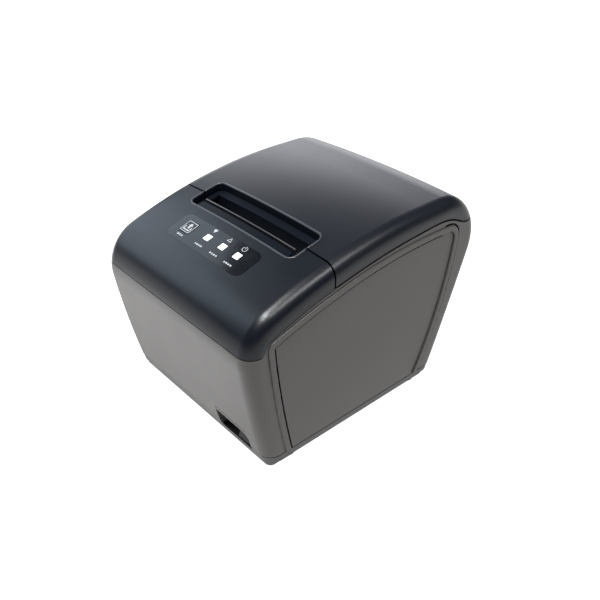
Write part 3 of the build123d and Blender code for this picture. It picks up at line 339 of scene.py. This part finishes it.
MATERIALS = {
    "cover_plastic": plastic("cover_plastic", COVER, 0.31, **SATIN, ior=1.4, smear=EVEN),
    "lid_plastic": plastic("lid_plastic", LID, 0.35, **SATIN, ior=1.42, smear=EVEN),
    # the body's edges are lightened strongly, mostly as a painted highlight along its side bead
    "body_plastic": plastic("body_plastic", BODY, 0.46, **TEXTURED, spread=0.03, smear=EVEN, wear_and_highlight=4.0),
    "pan_plastic": plastic("pan_plastic", (0.05, 0.049, 0.049), 0.5, **TEXTURED),
    "liner_plastic": plastic("liner_plastic", (0.012, 0.0125, 0.014), 0.5),
    "bucket_plastic": plastic("bucket_plastic", (0.014, 0.014, 0.015), 0.48),
    "overlay_black": gloss("overlay_black", (0.004, 0.0045, 0.006), 0.12, ior=1.38),
    "button_black": gloss("button_black", (0.006, 0.0065, 0.008), 0.2, ior=1.33),
    "switch_black": plastic("switch_black", (0.012, 0.012, 0.013), 0.4),
    "sensor_black": plastic("sensor_black", (0.01, 0.01, 0.011), 0.35),
    "chip_black": plastic("chip_black", (0.016, 0.016, 0.017), 0.5, grain=3000.0),
    "socket_black": plastic("socket_black", (0.012, 0.012, 0.013), 0.42),
    "cutter_casting": plastic("cutter_casting", (0.025, 0.025, 0.027), 0.5),
    "gear_plastic": plastic("gear_plastic", (0.62, 0.61, 0.56), 0.4, 2000.0, 0.00002, specks=0.02),
    "gear_dark": plastic("gear_dark", (0.05, 0.05, 0.052), 0.42),
    "bush_plastic": plastic("bush_plastic", (0.07, 0.065, 0.06), 0.45),
    "ribbon_white": plastic("ribbon_white", (0.68, 0.69, 0.68), 0.35, grain=900.0),
    "lens_clear": lens("lens_clear", (0.86, 0.87, 0.88)),
    "board_green": circuit_board("board_green"),
    "foot_rubber": rubber("foot_rubber", (0.018, 0.018, 0.018)),
    "platen_rubber": rubber("platen_rubber", (0.03, 0.03, 0.032), 0.6),
    "screw_steel": metal("screw_steel", (0.58, 0.57, 0.54), 0.32),
    "pin_steel": metal("pin_steel", (0.6, 0.6, 0.6), 0.2, (40.0, 1.0, 1.0)),
    "tear_steel": metal("tear_steel", (0.2, 0.2, 0.21), 0.35, LONG_X),
    "sheet_steel": metal("sheet_steel", (0.5, 0.5, 0.49), 0.36, (1.0, 1.0, 0.06)),
    "blade_steel": metal("blade_steel", (0.6, 0.6, 0.62), 0.22, LONG_X),
    "motor_can": metal("motor_can", (0.42, 0.42, 0.42), 0.34, (0.05, 1.0, 1.0)),
    "heat_sink_alu": metal("heat_sink_alu", (0.72, 0.73, 0.74), 0.33, LONG_X),
    "spring_steel": metal("spring_steel", (0.6, 0.6, 0.6), 0.25),
    "brass_gear": metal("brass_gear", (0.72, 0.54, 0.24), 0.25),
    "socket_metal": metal("socket_metal", (0.7, 0.7, 0.68), 0.24),
    # the tray rim is a lighter copy of the cover and lid plastic: a painted highlight
    "rim_highlight_plastic": plastic("rim_highlight_plastic", (0.022, 0.024, 0.029), 0.34, **SATIN),
    # steel darkened as painted shade, for parts that show in the dark paper slot
    "slot_shade_steel": metal("slot_shade_steel", (0.035, 0.035, 0.037), 0.4),
    "panel_ink": gloss("panel_ink", (0.34, 0.35, 0.37), 0.35),
    "head_ceramic": gloss("head_ceramic", (0.5, 0.38, 0.26), 0.15),
}

SLOT_SHADED = ("platen_bracket", "blade_shim")  # sheet steel by the paper slot, darkened as painted shade

for part in frame["record"]["subparts"]:
    mesh = NODES[part["node"]].data
    slot = "slot_shade_steel" if part["node"] in SLOT_SHADED else part["material_slot"]
    mesh.materials.clear()
    mesh.materials.append(MATERIALS[slot])

# ---- crown surface ------------------------------------------------------------------------
PANEL_Y = -62.85  # middle of the control panel, mm
PANEL_TILT = asin((CROWN_Y - PANEL_Y) / CROWN_RADIUS)
INK_LIFT = 0.03  # thickness of the printed marks, mm


def crown_point(x, y, lift=0.0):
    """Point on the crown, x and y in mm from the middle of the printer, in metres."""
    ridge = CROWN_Z + sqrt((CROWN_RADIUS + lift) ** 2 - (y - CROWN_Y) ** 2) - DOME_Z
    return Vector((x, y, sqrt(ridge**2 - x**2) + DOME_Z)) * MM


def panel_point(x, v, lift=INK_LIFT):
    """Point on the control panel, v up the slope from the panel's middle."""
    return crown_point(x, PANEL_Y + v * cos(PANEL_TILT), lift)


def add_mesh(name, vertices, faces, material, body, smooth=False):
    """New piece that rides on the body, with its faces turned outwards."""
    mesh = bpy.data.meshes.new(name)
    mesh.from_pydata([tuple(v) for v in vertices], [], faces)
    mesh.validate()
    bm = bmesh.new()
    bm.from_mesh(mesh)
    bmesh.ops.recalc_face_normals(bm, faces=bm.faces)
    bm.to_mesh(mesh)
    bm.free()
    if smooth:
        mesh.shade_smooth()
    piece = bpy.data.objects.new(name, mesh)
    mesh.materials.append(material)
    bpy.context.scene.collection.objects.link(piece)
    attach(piece, body)


# ---- raised rim round the paper tray ------------------------------------------------------
TRAY_CORNER = 5.0
SPLIT_Y = -34.4  # seam between the front cover and the lid, where the rim parts
SPLIT_HALF_GAP = 0.5
RIM_HALF_WIDTH, RIM_HEIGHT, RIM_SINK = 0.62, 0.42, 0.6  # the sink is a share of the height
RIM_ARC_STEPS = 6
RIM_SPAN = 1.5


def rounded_outline(middle, half, corner, steps=8):
    """Points and outward directions round a rounded rectangle, anticlockwise from its right side."""
    points = []
    for quarter in range(4):
        sx = (1, -1, -1, 1)[quarter]
        sy = (1, 1, -1, -1)[quarter]
        for step in range(steps + 1):
            angle = (quarter + step / steps) * pi / 2
            out = (cos(angle), sin(angle))
            x = middle[0] + sx * (half[0] - corner) + corner * out[0]
            y = middle[1] + sy * (half[1] - corner) + corner * out[1]
            points.append((x, y, out))
    return points


def rim(name, run, material, body):
    """Half-round bead along the run, its foot sunk a little into the cover."""
    angles = [k * pi / RIM_ARC_STEPS for k in range(RIM_ARC_STEPS + 1)]
    profile = [(1.0, -RIM_SINK)] + [(cos(a), sin(a)) for a in angles] + [(-1.0, -RIM_SINK)]
    vertices, faces = [], []
    for x, y, out in run:
        for across, rise in profile:
            reach = across * RIM_HALF_WIDTH
            lift = rise * RIM_HEIGHT
            vertices.append(crown_point(x + out[0] * reach, y + out[1] * reach, lift))
    row = len(profile)
    for k in range(len(run) - 1):
        for j in range(row - 1):
            a = k * row + j
            faces.append((a, a + 1, a + row + 1, a + row))
    faces.append(tuple(range(row)))
    faces.append(tuple(range(len(vertices) - row, len(vertices))))
    add_mesh(name, vertices, faces, material, body, smooth=True)


def long_run(points):
    """The same run with straight stretches divided, so that it follows the crown."""
    run = []
    for (xa, ya, out_a), (xb, yb, out_b) in zip(points, points[1:]):
        count = max(1, int(sqrt((xb - xa) ** 2 + (yb - ya) ** 2) / RIM_SPAN))
        for k in range(count):
            t = k / count
            run.append((xa + t * (xb - xa), ya + t * (yb - ya), out_a if t < 0.5 else out_b))
    run.append(points[-1])
    return run


def tray_rim():
    """The rim in two pieces, one on the lid behind the seam and one on the cover before it."""
    outline = rounded_outline(TRAY_MIDDLE, TRAY_HALF, TRAY_CORNER)
    right = (TRAY_MIDDLE[0] + TRAY_HALF[0], (1.0, 0.0))
    left = (TRAY_MIDDLE[0] - TRAY_HALF[0], (-1.0, 0.0))
    half = len(outline) // 2
    for name, part, gap, ends, body in (
        ("rim_lid", outline[:half], SPLIT_HALF_GAP, (right, left), "lid"),
        ("rim_cover", outline[half:], -SPLIT_HALF_GAP, (left, right), "casing"),
    ):
        y = SPLIT_Y + gap
        run = [(ends[0][0], y, ends[0][1])] + part + [(ends[1][0], y, ends[1][1])]
        rim(name, long_run(run), MATERIALS["rim_highlight_plastic"], body)


tray_rim()


# ---- marks printed on the control panel ---------------------------------------------------
# Places in mm, x across the panel and v up its slope from its middle.
KEY_AT = (-25.1, 0.8)
KEY_TOP = -0.05  # the key's top is this far below the panel's tangent plane
KEY_FRAME = (8.4, 8.6)
KEY_FRAME_LINE = 0.4
LIGHT_X = (-7.1, 7.2, 20.6)
ICON_SHIFT = -0.5  # from a light to the middle of its icon
ICON_V = 7.6
KEY_WORD_V, LIGHT_WORD_V = -6.4, -6.0
WORD_HEIGHT, WORD_GAP = 1.1, 0.6
ARC_STEPS = 20


def key_point(x, v, lift):
    """Point on the flat top of the feed key."""
    rise = lift + KEY_TOP
    z = crown_point(0.0, PANEL_Y).z / MM
    y = PANEL_Y + v * cos(PANEL_TILT) - rise * sin(PANEL_TILT)
    return Vector((x, y, z + v * sin(PANEL_TILT) + rise * cos(PANEL_TILT))) * MM


def surface(body):
    """The function that places a printed mark on this body."""
    return key_point if body == "button" else panel_point


def flat_shape(name, outline, body):
    """Thin printed patch on the panel or the key, its outline as (x, v) points."""
    place = surface(body)
    vertices = [place(x, v, INK_LIFT) for x, v in outline] + [place(x, v, 0.0) for x, v in outline]
    count = len(outline)
    faces = [tuple(range(count)), tuple(range(2 * count - 1, count - 1, -1))]
    faces += [(k, (k + 1) % count, count + (k + 1) % count, count + k) for k in range(count)]
    add_mesh(name, vertices, faces, MATERIALS["panel_ink"], body)


def ring_shape(name, outer, inner, body):
    """Printed line between two outlines with equal numbers of points."""
    place = surface(body)
    vertices = [place(x, v, INK_LIFT) for x, v in outer + inner]
    vertices += [place(x, v, 0.0) for x, v in outer + inner]
    count = len(outer)
    faces = []
    for k in range(count):
        n = (k + 1) % count
        faces.append((k, n, count + n, count + k))
        faces.append((2 * count + k, 2 * count + n, 3 * count + n, 3 * count + k))
        faces.append((k, n, 2 * count + n, 2 * count + k))
        faces.append((count + k, count + n, 3 * count + n, 3 * count + k))
    add_mesh(name, vertices, faces, MATERIALS["panel_ink"], body)


def rectangle(x, v, width, height, grow=0.0):
    """Corners of a rectangle about (x, v), with each side moved out by grow."""
    w, h = width / 2 + grow, height / 2 + grow
    return [(x - w, v - h), (x + w, v - h), (x + w, v + h), (x - w, v + h)]


def arc_points(x, v, radius, start, end):
    """Points on an arc about (x, v), from one angle to the other."""
    sweep = [start + (end - start) * k / ARC_STEPS for k in range(ARC_STEPS + 1)]
    return [(x + radius * cos(a), v + radius * sin(a)) for a in sweep]


def dashes(name, x, v, widths):
    """Row of short bars in place of a printed word."""
    at = x - (sum(widths) + WORD_GAP * (len(widths) - 1)) / 2
    for k, width in enumerate(widths):
        flat_shape(f"{name}_{k}", rectangle(at + width / 2, v, width, WORD_HEIGHT), "casing")
        at += width + WORD_GAP


def feed_key_marks():
    """Frame and paper-feed picture on the feed key."""
    x, v = KEY_AT
    inner = rectangle(x, v, *KEY_FRAME, -KEY_FRAME_LINE)
    ring_shape("feed_frame", rectangle(x, v, *KEY_FRAME), inner, "button")
    lower = [(x - 3.0, v - 3.0), (x + 3.0, v - 3.0), (x + 3.0, v + 0.2), (x + 2.2, v + 0.2)]
    lower += [(x + 2.2, v - 2.2), (x - 2.2, v - 2.2), (x - 2.2, v + 0.2), (x - 3.0, v + 0.2)]
    flat_shape("feed_tray", lower, "button")
    arrow = [(x - 0.6, v - 1.2), (x + 0.9, v - 1.2), (x + 0.9, v + 1.0), (x + 2.0, v + 1.0)]
    arrow += [(x + 0.2, v + 3.2), (x - 1.7, v + 1.0), (x - 0.6, v + 1.0)]
    flat_shape("feed_arrow", arrow, "button")


def light_icons():
    """Paper, warning and power pictures above the three lights."""
    x = LIGHT_X[0] + ICON_SHIFT
    drop = [(x - 1.6, ICON_V + 1.0), (x, ICON_V - 1.6), (x + 1.6, ICON_V + 1.0), (x, ICON_V + 1.7)]
    flat_shape("icon_paper", drop, "casing")
    x = LIGHT_X[1] + ICON_SHIFT
    outer = [(x - 1.9, ICON_V - 1.3), (x + 1.9, ICON_V - 1.3), (x, ICON_V + 1.9)]
    inner = [(x - 1.2, ICON_V - 0.9), (x + 1.2, ICON_V - 0.9), (x, ICON_V + 1.1)]
    ring_shape("icon_warning", outer, inner, "casing")
    x = LIGHT_X[2] + ICON_SHIFT
    start, end = radians(125), radians(415)  # open at the top
    bow = arc_points(x, ICON_V, 1.9, start, end) + arc_points(x, ICON_V, 1.5, end, start)
    flat_shape("icon_power", bow, "casing")
    flat_shape("icon_power_bar", rectangle(x, ICON_V + 1.2, 0.4, 2.2), "casing")


feed_key_marks()
light_icons()
dashes("mark_feed", KEY_AT[0], KEY_WORD_V, (1.6, 1.2, 1.2))
dashes("mark_paper", LIGHT_X[0], LIGHT_WORD_V, (1.0, 1.3, 1.0, 1.4))
dashes("mark_error", LIGHT_X[1], LIGHT_WORD_V, (1.2, 1.0, 1.5, 1.0))
dashes("mark_power", LIGHT_X[2], LIGHT_WORD_V, (1.0, 1.5, 1.1, 1.2))


# ---- floor, light -------------------------------------------------------------------------
FLOOR_REACH = 40.0
FLOOR_TONE = (0.14, 0.14, 0.14, 1.0)
GLOW = (0.9, 2.6)  # emission of the floor and of its brighter patch in front of the printer

# Stretches over which the patch comes up from dark to bright: far in front along Y, from the
# right along X, and away from the printer's foot along Y, where FOOT_SHARE of it is left.
PATCH_FRONT = (-0.24, -0.15)
PATCH_RIGHT = (0.11, 0.0)
PATCH_FOOT = (-0.095, -0.14)
FOOT_SHARE = 0.25


def floor():
    """Pale floor that glows evenly, with a brighter patch in front of the printer."""
    mesh = bpy.data.meshes.new("floor")
    corners = [(x * FLOOR_REACH, y * FLOOR_REACH, 0.0) for x, y in ((-1, -1), (1, -1), (1, 1), (-1, 1))]
    mesh.from_pydata(corners, [], [(0, 1, 2, 3)])
    piece = bpy.data.objects.new("floor", mesh)
    bpy.context.scene.collection.objects.link(piece)
    material, tree, shader = new_material("paper_floor")
    shader.inputs["Base Color"].default_value = FLOOR_TONE
    shader.inputs["Roughness"].default_value = 0.9
    shader.inputs["Specular IOR Level"].default_value = 0.1
    shader.inputs["Emission Color"].default_value = (1.0, 0.99, 0.98, 1.0)
    split = tree.nodes.new("ShaderNodeSeparateXYZ")
    tree.links.new(object_coords(tree), split.inputs[0])
    front = remap(tree, split.outputs["Y"], *PATCH_FRONT, 0.0, 1.0)
    right = remap(tree, split.outputs["X"], *PATCH_RIGHT, 0.0, 1.0)
    foot = remap(tree, split.outputs["Y"], *PATCH_FOOT, FOOT_SHARE, 1.0)
    patch = math_node(tree, "MULTIPLY", math_node(tree, "MULTIPLY", front, right), foot)
    glow = remap(tree, patch, 0.0, 1.0, *GLOW)
    tree.links.new(glow, shader.inputs["Emission Strength"])
    mesh.materials.append(material)


floor()

AIM = Vector((0.0, 0.0, 0.1))
LAMP_TURN = radians(-30)
WHITE = (1.0, 1.0, 1.0)
COOL = (0.94, 0.95, 1.0)
BLUE = (0.76, 0.87, 1.0)


def soft_box(name, way, reach, size, radiance, turn=0.0, colour=WHITE):
    """Rectangular lamp in the direction way from the printer, facing it."""
    data = bpy.data.lights.new(name, "AREA")
    data.shape = "RECTANGLE"
    data.size, data.size_y = size
    data.energy = radiance * pi * size[0] * size[1]
    data.color = colour
    light = bpy.data.objects.new(name, data)
    away = Vector(way).normalized()
    facing = away.to_track_quat("Z", "Y").to_matrix() @ Matrix.Rotation(turn, 3, "Z")
    light.matrix_world = Matrix.Translation(AIM + away * reach) @ facing.to_4x4()
    bpy.context.scene.collection.objects.link(light)


soft_box("light_key", (0.08, -0.28, 0.95), 1.4, (0.75, 0.36), 36.0, LAMP_TURN)
soft_box("light_rim", (0.5, 0.12, 0.8), 1.4, (0.9, 0.24), 15.0, LAMP_TURN)
soft_box("card_back_left", (-0.74, 0.67, 0.29), 1.7, (1.3, 0.8), 3.0, colour=COOL)
soft_box("card_left", (-0.8, -0.3, 0.5), 1.5, (1.6, 1.1), 2.7, colour=BLUE)

SKY, SKY_STRENGTH = (0.86, 0.93, 1.0, 1.0), 0.1

world = bpy.data.worlds.new("studio")
world.use_nodes = True
background = world.node_tree.nodes["Background"]
background.inputs["Color"].default_value = SKY
background.inputs["Strength"].default_value = SKY_STRENGTH
bpy.context.scene.world = world
bpy.context.scene.view_settings.view_transform = "Standard"
